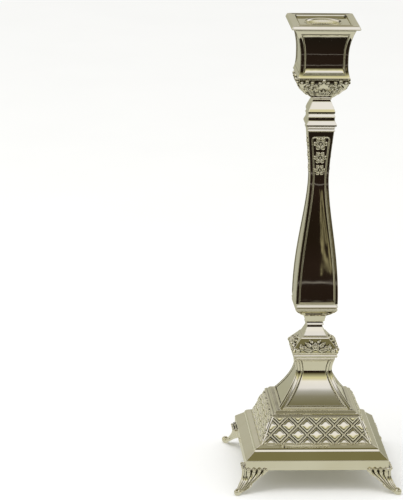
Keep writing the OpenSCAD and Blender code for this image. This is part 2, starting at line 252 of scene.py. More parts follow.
def hollow_depth(mesh, rounds=14):
    """How far, in mm, the surface around each point stands above it: positive in grooves, negative on edges."""
    count = len(mesh.vertices)
    points, normals = np.empty(count * 3), np.empty(count * 3)
    mesh.vertices.foreach_get("co", points)
    mesh.vertex_normals.foreach_get("vector", normals)
    points, normals = points.reshape(-1, 3) / MM, normals.reshape(-1, 3)
    edges = np.empty(len(mesh.edges) * 2, int)
    mesh.edges.foreach_get("vertices", edges)
    a, b = edges.reshape(-1, 2).T
    weight = 1 / (np.linalg.norm(points[a] - points[b], axis=1) + 0.05)
    total = np.bincount(a, weight, count) + np.bincount(b, weight, count) + 1e-9
    smooth = points.copy()
    for _ in range(rounds):
        for axis in range(3):
            line = smooth[:, axis]
            pulled = np.bincount(a, weight * line[b], count) + np.bincount(b, weight * line[a], count)
            smooth[:, axis] = 0.5 * line + 0.5 * pulled / total
    return np.einsum("ij,ij->i", smooth - points, normals)


def make_piece(name, shape, node, body="candlestick", finish=silver):
    """Makes a visible piece from points in mm and faces, notes its hollows for the finish's painted shade, and
    places it.
    """
    points, faces = shape
    mesh = bpy.data.meshes.new(name)
    mesh.from_pydata((np.asarray(points) * MM).tolist(), [], [[int(i) for i in face] for face in faces])
    mesh.validate()
    mesh.shade_smooth()
    # The hollow depth drives the painted shade and the rougher silver in the grooves.
    mesh.attributes.new("hollow", "FLOAT", "POINT").data.foreach_set("value", hollow_depth(mesh))
    mesh.materials.append(finish)
    piece = bpy.data.objects.new(name, mesh)
    bpy.context.scene.collection.objects.link(piece)
    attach(piece, body)
    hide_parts(node)


def span(node):
    """A CAD node's half width along X, and its lowest and highest point, in mm."""
    low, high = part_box(node)
    return (high[0] - low[0]) / 2 / MM, low[2] / MM, high[2] / MM


metal = 1.6
skirt_half, skirt_low, plinth_top = span("plinth")
skirt_top = skirt_low + 7.6
lattice_half = 41.6
plinth_outer = spaced(rounded(
    (skirt_half - metal, skirt_low), (skirt_half, skirt_low, 0.6), (skirt_half, skirt_top, 0.6),
    (47.6, 29.5, 1.0), (46.9, 31, 0.5), (46.1, 31.9, 0.6), (lattice_half + 1.1, plinth_top - 0.1, 0.5),
    (lattice_half - 0.6, plinth_top),
), 2.5)
plinth_inner = spaced(rounded(
    (skirt_half - metal, skirt_low + 0.5), (skirt_half - metal, skirt_top - 0.6, 1), (46, 28.4, 1),
    (lattice_half - metal, 31.6, 1), (lattice_half - metal, plinth_top - 0.2),
), 4)
plinth_section = np.vstack([plinth_outer, plinth_inner[::-1]])
make_piece("plinth_skirt", square_piece(plinth_section, arris=0.9, marks=(1.2, 2.4), across=16), "plinth")

# Lattice gallery: a stamped sloping band of brass, soldered between plinth and dome. Round ribs cross on the
# diagonal with a bead at each crossing and a pillowed diamond in each mesh, and a half-round bead closes the top.

lattice_low = span("lattice_band")[1]
lattice_high, lattice_top_half = 52.5, 33.0
dome_low = span("base_dome")[1]
slope = math.hypot(lattice_half - lattice_top_half, lattice_high - lattice_low)
mesh_w, mesh_h = 2 * lattice_half / 6, slope * 2 / 3
rib_gap = mesh_w * mesh_h / 2 / math.hypot(mesh_w, mesh_h)


def dome_of(distance, radius):
    """A half-round rise, 1 at its middle and 0 at its radius."""
    return np.sqrt(np.clip(1 - (distance / radius) ** 2, 0, 1))


def lattice(x, along, half, height):
    across, up = x / (mesh_w / 2), along / (mesh_h / 2)
    rib_a = np.abs((across + up + 1) % 2 - 1) * rib_gap
    rib_b = np.abs((across - up + 1) % 2 - 1) * rib_gap
    nearer, further = np.minimum(rib_a, rib_b), np.maximum(rib_a, rib_b)
    rib = 0.9 * dome_of(nearer, 0.75)
    bead = 1.3 * dome_of(np.hypot(rib_a, rib_b), 1.2)
    out_a, out_b = (1 - np.clip((d - 0.95) / (rib_gap - 0.95), 0, 1) for d in (nearer, further))
    pillow = 1.4 * (1 - out_a ** 5) * (1 - out_b ** 5)
    edge = np.clip((half - np.abs(x) - 0.9) / 0.7, 0, 1)
    ends = np.clip((along - 0.2) / 0.4, 0, 1) * np.clip((slope - 0.2 - along) / 0.4, 0, 1)
    return np.maximum.reduce([rib, bead, pillow]) * edge * ends


gallery_outer = spaced(rounded(
    (lattice_half, lattice_low), (lattice_top_half, lattice_high, 0.2), (33.3, 52.8, 0.3), (33.2, 53.7, 0.5),
    (32.3, 54.3, 0.5), (31.2, 54.5, 0.4), (30.2, dome_low - 0.1, 0.3), (28.5, dome_low),
), 0.36, hold=0.08)
gallery_inner = spaced(rounded(
    (lattice_half - metal, lattice_low), (30.6, dome_low - metal, 1), (28.5, dome_low - metal),
), 5)
gallery_section = np.vstack([gallery_outer, gallery_inner[::-1]])
make_piece("lattice_gallery", square_piece(
    gallery_section, arris=0.5, marks=(0.9,), across=230, relief=lattice, rows=len(gallery_outer),
), "lattice_band")

# Base dome: a spun and pressed flare, hollow below, that rises from a nearly flat ledge into a square neck. A
# thin half-round line is raised on each face, along the corners and foot, with a fine groove on its inner side.

dome_neck_z, dome_neck_half, dome_foot_half = 82.5, 12.8, 27.0
dome_top = span("base_dome")[2]
wire_border = 3.0


def dome_half(height):
    """The dome's half width at a height: a hollow curve from the ledge, then a slight flare to carry the knop."""
    low = np.clip((dome_neck_z - height) / (dome_neck_z - dome_low - 0.6), 0, 1)
    high = np.clip((height - dome_neck_z) / (dome_top - dome_neck_z), 0, 1)
    return dome_neck_half + (dome_foot_half - dome_neck_half) * low ** 1.5 + 2 * high ** 2


def wire_line(x, along, half, height):
    foot_z = dome_low + 1.5
    inside = np.minimum(half - np.abs(x) - wire_border, (height - foot_z) * 1.25)
    return 0.85 * dome_of(inside, 0.9) - 0.2 * dome_of(inside - 1.2, 0.3)


dome_heights = dome_low + 0.6 + (dome_top - dome_low - 0.6) * np.linspace(0, 1, 150) ** 1.6
dome_outer = np.vstack([
    spaced(rounded(
        (28.6, dome_low), (29.6, dome_low, 0.1), (29.8, dome_low + 0.25, 0.15), (29.2, dome_low + 0.45, 0.3),
        (27.3, dome_low + 0.5),
    ), 0.5),
    np.stack([dome_half(dome_heights), dome_heights], axis=1),
])
dome_inner = np.stack([dome_half(dome_heights[::8]) - metal, dome_heights[::8]], axis=1)
dome_inner[:, 1] -= np.linspace(metal, 0.6, len(dome_inner))
wire_marks = wire_border + np.array([
    -2.1, -1.5, -1.3, -1.1, -0.9, -0.8, -0.6, -0.3, 0, 0.3, 0.6, 0.8, 0.9, 1.1, 1.3, 1.55, 2,
])
make_piece("dome_flare", square_piece(
    np.vstack([dome_outer, dome_inner[::-1]]), arris=0.5, marks=wire_marks, across=12, relief=wire_line,
    rows=len(dome_outer),
), "base_dome")

# Feet: four cast corner feet, soldered to the skirt. Two fluted wings spread from the corner along the skirt,
# with a beaded, scalloped upper edge, and run down together into a leg that kicks out to a small rolled toe.

foot_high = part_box("foot_back_right")[1]
toe_r = 2.8
toe_reach = foot_high[0] / MM - toe_r
foot_top = foot_high[2] / MM


def curve_through(points, places, steps):
    """A smooth curve through points, which stand at places from 0 to 1, read at steps."""
    points, places = np.asarray(points, float), np.asarray(places, float)
    slopes = np.gradient(points, places, axis=0)
    i = np.clip(np.searchsorted(places, steps, side="right") - 1, 0, len(places) - 2)
    width = (places[i + 1] - places[i])[:, None]
    t = (steps[:, None] - places[i][:, None]) / width
    ease = 3 * t ** 2 - 2 * t ** 3
    lead, trail = t ** 3 - 2 * t ** 2 + t, t ** 3 - t ** 2
    return points[i] * (1 - ease) + points[i + 1] * ease + (slopes[i] * lead + slopes[i + 1] * trail) * width


def corner_foot():
    """Points and faces of the foot on the corner towards +X and +Y."""
    corner_r, lobes, wing = 1.1, 4, 17.5
    down = np.linspace(0, 1, 50)
    ridge = curve_through([
        (skirt_half + 1.1, foot_top), (skirt_half + 0.9, 14.2), (skirt_half + 1.5, 10.4), (skirt_half + 3.5, 6.4),
        (toe_reach - 0.4, 3.2),
    ], (0, 0.24, 0.46, 0.72, 1), down)
    edge = curve_through([
        (skirt_half + 1 - wing, foot_top), (skirt_half + 1.6 - wing, 15.9), (skirt_half - 13.6, 14), (45.2, 10.6),
        (50, 6.6), (54.2, 3.2), (toe_reach - 2.6, 1.2),
    ], (0, 0.13, 0.3, 0.5, 0.7, 0.86, 1), down)
    v = down[:, None]
    ridge_w, ridge_z = ridge[:, :1], ridge[:, 1:]
    bend_r = corner_r * np.minimum(1, (ridge_w - edge[:, :1]) / 5)
    share = np.linspace(0, 1, 46)
    x = (ridge_w - bend_r) + (edge[:, :1] - ridge_w + bend_r) * share
    z = ridge_z + (edge[:, 1:] - ridge_z) * share ** 1.15
    face = np.interp(z, ridge[::-1, 1], ridge[::-1, 0])
    fade = np.clip((1 - v) / 0.3, 0, 1) ** 0.6
    flute = np.abs(np.sin(np.pi * lobes * share)) ** 0.75 * fade * np.clip(share / 0.04, 0, 1)
    tip = (np.floor(share * lobes - 1e-6) + 0.5) / lobes
    bead = dome_of(np.hypot((share - tip) * wing, (v - 0.065) * 20), 1.45)
    pit = np.exp(-((np.abs(share - tip) * lobes - 0.5) / 0.16) ** 2 - ((v - 0.16) / 0.08) ** 2)
    spur = dome_of(np.hypot((1 - share) * 8, (v - 0.74) * 16), 1.2)
    x = x - 1.1 * spur - 0.4 * np.sin(v * 26) * share ** 8 * fade
    z = z - 1.3 * np.clip(1 - v / 0.12, 0, 1) * (1 - flute)
    wall = 1.7 - 0.9 * v
    outer = np.stack([x, face + 0.95 * flute + 1.1 * bead - 0.5 * pit, z], axis=2)
    inner = np.stack([np.minimum(x, ridge_w - bend_r - wall), face - wall, z], axis=2)
    turn = np.radians(np.linspace(0, 90, 7))[1:-1]
    bend_x, bend_y = ridge_w - bend_r + bend_r * np.cos(turn), ridge_w - bend_r + bend_r * np.sin(turn)
    bend = np.stack([bend_x, bend_y, np.repeat(ridge_z, len(turn), 1)], axis=2)
    swap = [1, 0, 2]
    loop = np.concatenate([
        outer[:, ::-1][..., swap], bend, outer, inner[:, ::-1], inner[:, 1:][..., swap],
    ], axis=1)
    loop[..., 2] = np.maximum(loop[..., 2], 0.3)
    rows, count = loop.shape[:2]
    faces = grid_faces(rows, count, closed_rows=False)[:, ::-1].tolist()
    faces += [list(range(count)), list(range(rows * count - 1, (rows - 1) * count - 1, -1))]
    return loop.reshape(-1, 3), faces


def rolled_toe(first):
    """Points and faces, numbered from first, of the toe: a ball drawn towards the corner, with a scroll line."""
    rings, spokes, long_r, short_r = 22, 36, 3.1, 2.45
    tilt = np.linspace(-math.pi / 2, math.pi / 2, rings)[:, None]
    turn = np.linspace(0, 2 * math.pi, spokes, endpoint=False)[None, :]
    scroll = 1 - 0.09 * np.exp(-((tilt - 0.5 - 0.35 * np.cos(turn)) / 0.13) ** 2)
    out, side = long_r * np.cos(tilt) * np.cos(turn) * scroll, short_r * np.cos(tilt) * np.sin(turn) * scroll
    height = np.maximum(2.5 + toe_r * np.sin(tilt) * scroll + 0 * turn, 0)
    diagonal = math.sqrt(0.5)
    points = np.stack([toe_reach + diagonal * (out - side), toe_reach + diagonal * (out + side), height], axis=2)
    return points.reshape(-1, 3), (grid_faces(rings, spokes, closed_rows=False) + first).tolist()


leg_points, leg_faces = corner_foot()
toe_points, toe_faces = rolled_toe(len(leg_points))
foot_points = np.vstack([leg_points, toe_points])
for node, cosine, sine in (
    ("foot_back_right", 1, 0), ("foot_back_left", 0, 1), ("foot_front_left", -1, 0), ("foot_front_right", 0, -1),
):
    quarter_turn = np.array([(cosine, sine, 0), (-sine, cosine, 0), (0, 0, 1)])
    make_piece(node + "_leaf", (foot_points @ quarter_turn, leg_faces + toe_faces), node)

# Knop: a cast square boss between dome and stem. A rolled lip runs round its foot, and on each sloping face a
# five-petalled flower sits among acanthus leaves that sweep out to a curled bud at the corners.

knop_half, knop_low, knop_top = span("knop")


def leaf(x, y, place, angle, length, width, height):
    """A leaf with a sunk midrib, from a place off along an angle, in degrees from +x towards +y."""
    turn = math.radians(angle)
    out_x, out_y = x - place[0], y - place[1]
    along = (out_x * math.cos(turn) + out_y * math.sin(turn)) / length
    across = np.abs(out_y * math.cos(turn) - out_x * math.sin(turn))
    t = np.clip(along, 0, 1)
    half_width = width * np.sin(math.pi * t ** 0.7) ** 0.8 + 0.01
    body = dome_of(across, half_width) * (0.55 + 0.45 * np.sin(math.pi * t)) * ((along > 0) & (along < 1))
    return height * body * (1 - 0.4 * np.exp(-(across / (0.22 * width)) ** 2))


def bud(x, y, place, radius, height):
    return height * dome_of(np.hypot(x - place[0], y - place[1]), radius)


def both_sides(shape, x, y, place, *rest, angle=None):
    """The higher of a shape and its mirror image; an angle is mirrored with it."""
    turned = () if angle is None else (angle,)
    mirrored = () if angle is None else (180 - angle,)
    mirror_place = (-place[0], place[1])
    return np.maximum(shape(x, y, place, *turned, *rest), shape(x, y, mirror_place, *mirrored, *rest))


def knop_ornament(x, along, half, height):
    y = (height - 102.2) * 1.27
    flower = [leaf(x, y, (0, -0.4), 90 + 72 * k, 3.9, 1.5, 1.6) for k in range(5)]
    leaves = [
        both_sides(leaf, x, y, (2.4, -3.6), 8.0, 1.8, 1.5, angle=12),
        both_sides(leaf, x, y, (3.4, -0.4), 5.6, 1.6, 1.5, angle=40),
        both_sides(leaf, x, y, (6.8, -0.8), 4.6, 1.5, 1.4, angle=0),
        both_sides(leaf, x, y, (10.4, -3.6), 5.6, 1.7, 1.5, angle=84),
        both_sides(leaf, x, y, (1.9, 2.6), 3.6, 1.1, 1.0, angle=50),
    ]
    buds = [bud(x, y, (0, -0.4), 1.3, 2.0), both_sides(bud, x, y, (13.4, -3.4), 1.9, 1.5)]
    return np.maximum.reduce(flower + leaves + buds) * ((height > knop_low + 5) & (height < knop_top - 1.2))


knop_outer = spaced(rounded(
    (14.0, knop_low), (14.7, knop_low, 0.2), (15.3, knop_low + 0.7, 0.5), (14.9, knop_low + 1.5, 0.2),
    (15.4, knop_low + 2, 0.3), (16.6, knop_low + 2.4, 0.6), (16.9, knop_low + 3.4, 0.7),
    (16.4, knop_low + 4.4, 0.6), (16.1, knop_low + 4.7, 0.3), (16.9, knop_low + 5.3, 0.5),
    (knop_half, knop_low + 6.4, 1.2),
    (16.4, knop_low + 9.4, 5), (10.7, knop_top - 1.2, 1), (10.3, knop_top - 0.3, 0.4), (9.0, knop_top),
), 0.3, hold=0.08)
knop_inner = spaced(rounded(
    (13.0, knop_low + 0.4), (9.0, knop_low + 6, 2), (5.0, knop_low + 12, 2), (5.0, knop_top),
), 3)
make_piece("knop_boss", square_piece(
    np.vstack([knop_outer, knop_inner[::-1]]), arris=0.6, across=110, relief=knop_ornament, rows=len(knop_outer),
), "knop")

# Waist spool: a small turned and squared spacer, a concave pyramid under two fine rings, strung on the rod
# between knop and stem. The rod holds it, so it has no fixing of its own.

spool_half, spool_low, spool_top = span("waist_spool")
bore = 3.2
spool_outer = spaced(rounded(
    (bore, spool_low), (spool_half, spool_low, 0.2), (spool_half, spool_low + 0.4, 0.2),
    (8.8, spool_low + 0.7, 0.2), (7.3, spool_low + 3.6, 4), (5.9, spool_low + 6.7, 0.2),
    (5.8, spool_low + 8.4, 0.1), (6.9, spool_low + 8.7, 0.2),
    (6.2, spool_low + 10.0, 0.2), (6.1, spool_low + 11.0, 0.1), (7.2, spool_top - 0.1, 0.2), (bore, spool_top),
), 0.6, hold=0.1)
make_piece("spool", square_piece(spool_outer, arris=0.4, marks=(0.8, 1.6), across=8), "waist_spool")

# Stem foot: a cast ovolo with two fine steps, that swells from the waist out to the width of the stem. The stem
# stands on it with a narrow shadow groove between.

foot_half, ovolo_low, ovolo_top = span("stem_foot")
stem_foot_outer = spaced(rounded(
    (bore, ovolo_low), (7.3, ovolo_low, 0.2), (7.6, ovolo_low + 2, 3), (8.2, ovolo_low + 4.3, 0.4),
    (8.6, ovolo_low + 4.6, 0.2), (11.5, ovolo_low + 6.4, 6), (13.4, ovolo_low + 8.1, 0.3),
    (13.9, ovolo_low + 8.3, 0.2), (15.4, ovolo_low + 9.9, 4), (foot_half, ovolo_low + 11.2, 0.8),
    (15.6, ovolo_low + 11.9, 0.3), (15.0, ovolo_low + 12.1, 0.2), (15.0, ovolo_low + 12.6, 0.2),
    (15.6, ovolo_top, 0.2), (bore, ovolo_top),
), 0.5, hold=0.1)
make_piece("stem_ovolo", square_piece(stem_foot_outer, arris=0.8, marks=(1.2, 2.2), across=12), "stem_foot")

# Stem: a tall hollow casting that tapers like a leg and spreads again at both ends. Each face is a shallow sunk
# panel between flat borders, with a fine raised lip, a bevelled edge, and softened corners at the top.

stem_half, stem_low, stem_top = span("stem")
narrow_z, narrow_half, wide_z = 231, 7.1, stem_low + 3
bead_steps = np.array([-0.8, -0.35, -0.25, -0.12, 0, 0.12, 0.25, 0.35, 0.6, 0.82, 0.9, 0.98, 1.5])


def sunk(inside, depth):
    """A sunk panel's height, by the distance inside its edge: a fine lip, a straight bevel, then the floor."""
    return 0.1 * dome_of(inside, 0.3) - depth * np.clip(inside / 0.9, 0, 1)


def inside_frame(sideways, upward, radius):
    """Distance inside a frame, from the distances to its side and to its end, with a rounded corner."""
    corner = radius - np.hypot(np.maximum(radius - sideways, 0), np.maximum(radius - upward, 0))
    return np.where((sideways < radius) & (upward < radius), corner, np.minimum(sideways, upward))


def stem_width(height):
    """The stem's half width: an ogee from the wide foot to the narrow place, then a gentle spread."""
    low = np.clip((height - wide_z) / (narrow_z - wide_z), 0, 1)
    high = np.clip((height - narrow_z) / (stem_top - narrow_z), 0, 1)
    wide = stem_half - 0.2
    fall = (wide - narrow_half) * (1 - np.cos(math.pi * (1 - (1 - low) ** 0.85))) / 2
    return wide - fall + 2.7 * (1 - np.cos(math.pi / 2 * high ** 0.85))


panel_low, panel_high, panel_border, panel_sink, end_slope = stem_low + 3.4, stem_top - 4.4, 2.5, 0.38, 1.9


def stem_panel(x, along, half, height):
    sideways = half - np.abs(x) - panel_border
    ends = np.minimum(inside_frame(sideways, (panel_high - height) / 1.3, 2.2),
                      inside_frame(sideways, (height - panel_low) / end_slope, 0.5))
    cove = 0.6 * (1 - np.clip((height - panel_low - 0.6) / 2.6, 0, 1)) ** 2
    swell = 0.28 * np.clip(1 - (x / (half - panel_border)) ** 2, 0, 1)
    return sunk(ends, panel_sink) + np.clip((ends - 0.4) / 0.9, 0, 1) * (cove + swell)


stem_heights = np.unique(np.concatenate([
    np.linspace(wide_z, stem_top, 170), panel_low + end_slope * bead_steps[2:], panel_high - 1.3 * bead_steps,
]))
stem_outer = np.vstack([
    spaced(rounded(
        (13.4, stem_low), (15.6, stem_low, 0.2), (stem_half, stem_low + 0.2, 0.2),
        (stem_half, stem_low + 0.4, 0.2),
        (stem_half - 0.85, stem_low + 2.0, 0.2), (stem_half - 0.85, stem_low + 2.2, 0.1),
        (stem_half - 0.25, stem_low + 2.4, 0.1), (stem_half - 0.2, wide_z - 0.05),
    ), 0.4, hold=0.1),
    np.stack([stem_width(stem_heights), stem_heights], axis=1),
])
stem_inner_z = np.linspace(stem_low, stem_top, 24)
stem_inner = np.stack([stem_width(stem_inner_z) - 2.2, stem_inner_z], axis=1)
make_piece("stem_casting", square_piece(
    np.vstack([stem_outer, stem_inner[::-1]]), arris=0.45, marks=panel_border + bead_steps, across=10,
    relief=stem_panel, rows=len(stem_outer),
), "stem")

# Stem rosettes: three cast flowers soldered down the top of each panel, each smaller than the one above. Every
# flower has six dished petals round a bead.

rosettes = ((258.4, 5.4), (247.6, 5.0), (237.9, 4.4))


def rosette(radius):
    """Points and faces of one flower, lying in x and y, with its height along z."""
    rings, spokes, root = 20, 72, -0.5
    turn = np.linspace(0, 2 * math.pi, spokes, endpoint=False)[None, :]
    petal = np.abs(np.cos(3 * turn)) ** 0.7
    t = np.linspace(0.02, 1, rings)[:, None]
    outline = radius * (0.60 + 0.40 * petal)
    body = petal * np.sin(math.pi * np.clip((t - 0.26) / 0.74, 0, 1)) ** 0.8
    dish = 0.9 * np.exp(-((t - 0.64) / 0.13) ** 2) * np.abs(np.cos(3 * turn)) ** 3
    height = np.maximum(1.3 * body - dish, 1.3 * dome_of(t, 0.22)) + 0.1
    top = np.stack([outline * t * np.cos(turn), outline * t * np.sin(turn), height + 0 * turn], axis=2)
    base = top[-1:].copy()
    base[..., 2] = root
    points = np.concatenate([top, base]).reshape(-1, 3)
    faces = grid_faces(rings + 1, spokes, closed_rows=False)[:, ::-1].tolist()
    return points, faces + [list(range(spokes)), list(range(rings * spokes, (rings + 1) * spokes))[::-1]]


flower_points, flower_faces = [], []
for height, radius in rosettes:
    points, faces = rosette(radius)
    lean = math.atan(stem_width(height + 1) - stem_width(height))
    seat = stem_width(height) - panel_sink + 0.1
    out = points[:, 2] * math.cos(lean) + seat + points[:, 1] * math.sin(lean)
    up = height + points[:, 1] * math.cos(lean) - points[:, 2] * math.sin(lean)
    for sx, sy in ((1, 0), (0, 1), (-1, 0), (0, -1)):
        start = len(flower_points)
        placed = np.stack([points[:, 0] * sx + out * sy, points[:, 0] * sy - out * sx, up], axis=1)
        flower_points += placed.tolist()
        flower_faces += [[i + start for i in face] for face in faces]
make_piece("stem_flowers", (flower_points, flower_faces), "stem_rosettes")

# Neck: a stack of turned and squared mouldings over the stem. A fine ring, a strong bead, a cove, a sloped
# band and a tapering flare lead up to the cup.

neck_half, neck_low, neck_top = span("neck")
neck_outer = spaced(rounded(
    (bore, neck_low), (10.4, neck_low, 0.1), (10.4, neck_low + 0.3, 0.1), (9.9, neck_low + 1.4, 0.1),
    (9.85, neck_low + 1.9, 0.1), (10.5, neck_low + 2.3, 0.1), (10.05, neck_low + 3.4, 0.1),
    (neck_half - 0.05, neck_low + 3.8, 0.2), (neck_half, neck_low + 4.9, 0.3), (10.5, neck_low + 6.9, 0.3),
    (9.95, neck_low + 8.0, 2), (9.9, neck_low + 10.4, 0.2), (10.4, neck_low + 10.9, 0.2),
    (9.5, neck_low + 12.9, 0.2), (9.5, neck_low + 13.1, 0.1), (10.1, neck_low + 13.4, 0.2),
    (10.1, neck_low + 14.7, 0.2),
    (9.45, neck_low + 16.6, 3), (7.15, neck_low + 21.8, 0.2), (6.75, neck_low + 22.1, 0.1),
    (6.75, neck_low + 23.3, 0.1), (7.5, neck_low + 23.6, 0.2), (7.2, neck_top - 0.1, 0.2), (bore, neck_top),
), 0.5, hold=0.08)
make_piece("neck_mouldings", square_piece(neck_outer, arris=0.45, marks=(0.9, 1.8), across=10), "neck")

# Cup bowl: the cast lower half of the cup. On each face a fluted shell stands between scrolled leaves, and small
# buds break the shadow under the cup's border.

bowl_low, bowl_top = span("cup_bowl")[1:]
shadow_z = bowl_top - 2.6
bowl_lift = np.linspace(0, 1, 90) ** 0.9
bowl_half = 18.9 - 11.2 * (1 - bowl_lift) ** 1.55


def bowl_ornament(x, along, half, height):
    hinge = 10.6
    shell = [
        leaf(x, along, (0, hinge), 90 + angle, 7.2 - abs(angle) / 70, 1.3, 1.7) for angle in range(-90, 91, 30)
    ]
    leaves = [
        both_sides(leaf, x, along, (3.6, 19.4), 6.6, 1.7, 1.6, angle=8),
        both_sides(leaf, x, along, (9.8, 20.6), 5.4, 1.6, 1.5, angle=-22),
        both_sides(leaf, x, along, (6.8, 13.4), 6.6, 1.8, 1.5, angle=38),
        both_sides(leaf, x, along, (5.4, 8.6), 6.6, 1.4, 1.2, angle=42),
        both_sides(leaf, x, along, (11.6, 15.0), 5.4, 1.6, 1.5, angle=72),
        both_sides(leaf, x, along, (7.0, 15.6), 3.6, 1.2, 1.2, angle=100),
    ]
    buds = [
        bud(x, along, (0, 24.0), 1.6, 1.7), both_sides(bud, x, along, (12.5, 23.8), 1.5, 1.6),
        both_sides(bud, x, along, (2.9, 22.2), 1.5, 1.7), both_sides(bud, x, along, (8.7, 22.6), 1.5, 1.6),
        bud(x, along, (0, hinge), 1.8, 1.9), both_sides(bud, x, along, (16.4, 22.4), 1.2, 1.2),
    ]
    return np.maximum.reduce(shell + leaves + buds)


bowl_outer = np.vstack([
    [(bore, bowl_low), (7.5, bowl_low)],
    np.stack([bowl_half, bowl_low + 0.3 + (shadow_z - bowl_low - 0.3) * bowl_lift], axis=1),
    spaced(rounded((18.95, shadow_z + 0.2), (18.7, bowl_top - 0.6, 0.3), (17.2, bowl_top)), 0.3),
])
bowl_inner = spaced(rounded(
    (bore, bowl_low + 5), (8, bowl_low + 5, 1), (14.6, bowl_low + 9.5, 3), (16.4, bowl_top),
), 3)
make_piece("bowl_casting", square_piece(
    np.vstack([bowl_outer, bowl_inner[::-1]]), arris=0.8, across=120, relief=bowl_ornament, rows=len(bowl_outer),
), "cup_bowl")

# Cup: four concave walls, cast in one and open at the top, soldered to the bowl. Each face is a shallow sunk
# panel with a fine raised lip and a bevelled edge, and the rim stays plain under the drip pan.

rim_half, cup_low, cup_top = span("cup_shell")
cup_waist_z, cup_waist_half, cup_foot_half = 324.5, 17.8, 19.5
cup_border, cup_sink, cup_end_slope = 3.1, 0.42, 1.2
cup_panel_low, cup_panel_high = cup_low + 3.1, cup_top - 3.6


def cup_width(height):
    """The cup's half width: it draws in above its border to the waist, then flares to the rim."""
    low = np.clip((height - cup_low - 0.4) / (cup_waist_z - cup_low - 0.4), 0, 1)
    high = np.clip((height - cup_waist_z) / (cup_top - cup_waist_z), 0, 1)
    foot_share = (cup_foot_half - cup_waist_half) * (1 - low) ** 3.4
    return cup_waist_half + foot_share + (rim_half - cup_waist_half) * high ** 2.2


def cup_panel(x, along, half, height):
    sideways = half - np.abs(x) - cup_border
    upward = np.minimum(height - cup_panel_low, cup_panel_high - height) / cup_end_slope
    ends = inside_frame(sideways, upward, 0.6)
    cove = 1.15 * (1 - np.clip((height - cup_panel_low - 0.9) / 5.2, 0, 1)) ** 2
    return sunk(ends, cup_sink) + np.clip((ends - 0.4) / 0.9, 0, 1) * cove


cup_heights = np.unique(np.concatenate([
    np.linspace(cup_low + 0.4, cup_top - 0.3, 80), cup_panel_low + cup_end_slope * bead_steps,
    cup_panel_high - cup_end_slope * bead_steps,
]))
cup_outer = np.vstack([
    [(18.4, cup_low), (19.2, cup_low), (19.42, cup_low + 0.12)],
    np.stack([cup_width(cup_heights), cup_heights], axis=1), [(rim_half - 0.25, cup_top)],
])
cup_inner_z = np.linspace(cup_low, cup_top, 16)
cup_inner = np.stack([cup_width(cup_inner_z) - 2, cup_inner_z], axis=1)
make_piece("cup_walls", square_piece(
    np.vstack([cup_outer, cup_inner[::-1]]), arris=0.5, marks=cup_border + bead_steps, across=24,
    relief=cup_panel, rows=len(cup_outer),
), "cup_shell")

# Nozzle: the part that lifts out for cleaning. A square drip pan with a rolled border and a sunk floor is pressed
# from sheet; a spun socket with a flared mouth is soldered into it, and a square sleeve centres it in the cup.

pan_half, pan_low, pan_top = span("nozzle_pan")
socket_half, socket_low, mouth_top = span("nozzle_socket")
socket_r, mouth_r, floor_z = 11.2, 12.4, pan_top - 1.8
pan_outer = spaced(rounded(
    (mouth_r, pan_low), (18, pan_low), (23.8, pan_low, 0.4), (25.3, pan_low + 0.3, 0.5),
    (pan_half, pan_low + 0.9, 0.5), (24.7, pan_top - 0.4, 0.6), (24.0, pan_top - 0.1, 0.4),
    (20.7, pan_top - 0.35, 0.3), (20.4, pan_top, 0.3),
    (19.6, pan_top, 0.35), (19.2, pan_top - 0.6, 0.3), (18.9, floor_z + 0.5, 0.5), (18.2, floor_z, 0.5),
    (14.3, floor_z, 2.5), (mouth_r, floor_z - 0.9, 0.1), (mouth_r, pan_low + 0.2),
), 0.7, hold=0.1)
pan_roundness = np.clip((17.2 - pan_outer[:, 0]) / 3.4, 0, 1)
make_piece("drip_pan", square_piece(
    pan_outer, arris=1.1, marks=(1.5, 2.5), across=22, roundness=pan_roundness,
), "nozzle_pan", body="nozzle")


def turned(profile, spokes=96):
    """Points and faces of a round turned piece, from its closed section of radius and height."""
    turn = np.linspace(0, 2 * math.pi, spokes, endpoint=False)
    points = np.stack([
        profile[:, :1] * np.cos(turn), profile[:, :1] * np.sin(turn), np.repeat(profile[:, 1:], spokes, 1),
    ], axis=2)
    return points.reshape(-1, 3), grid_faces(len(profile), spokes)


spun_silver = silver_plate("spun_silver", dullness=0.26, turning=(500, 500, 4000))
socket_floor = mouth_top - 0.9 - 20
socket_outline = rounded(
    (0.6, socket_low), (socket_half, socket_low, 1), (socket_half, mouth_top - 1.2, 0.1),
    (12.2, mouth_top - 0.95, 0.1), (socket_r, mouth_top - 3.4, 5), (socket_r, socket_floor, 1.5),
    (0.6, socket_floor),
)
make_piece(
    "candle_socket", turned(spaced(socket_outline, 1.2)), "nozzle_socket", body="nozzle", finish=spun_silver,
)

sleeve_half, sleeve_low, sleeve_top = span("nozzle_skirt")
sleeve_outer = spaced(rounded(
    (sleeve_half - 1, sleeve_low), (sleeve_half, sleeve_low, 0.4), (sleeve_half, sleeve_top),
    (sleeve_half - 1, sleeve_top), (sleeve_half - 1, sleeve_low + 0.2),
), 1.5)
make_piece("centring_sleeve", square_piece(
    sleeve_outer, arris=0.8, marks=(1.2,), across=14,
), "nozzle_skirt", body="nozzle")

# Rod and its hardware: a threaded steel rod runs from the bridge plate under the dome up into the cup and pulls
# the stack together with a washer and a nut at each end, brass at the top and steel at the bottom. Two brass
# bushes centre it in the hollow stem.


def machined(name, colour, brushed, tool):
    """Bare machined metal, with cut marks stretched along x, y and z and a few darker oil stains."""
    finish, shader, place = new_finish(name)
    marks = place.add("TexNoise", Vector=place.stretched(*brushed), Scale=1.0, Detail=3.0)
    stains = place.add("TexNoise", Vector=place, Scale=180.0, Detail=3.0)
    darker = tuple(0.55 * c for c in colour)
    body = stains.between(0.45, 0.75).blend(colour, darker)
    cuts = place.add("Bump", Strength=0.25, Distance=0.0002, Height=marks)
    feed(shader, Base_Color=body, Metallic=1.0, Roughness=marks * 0.25 + tool, Normal=cuts)
    return finish


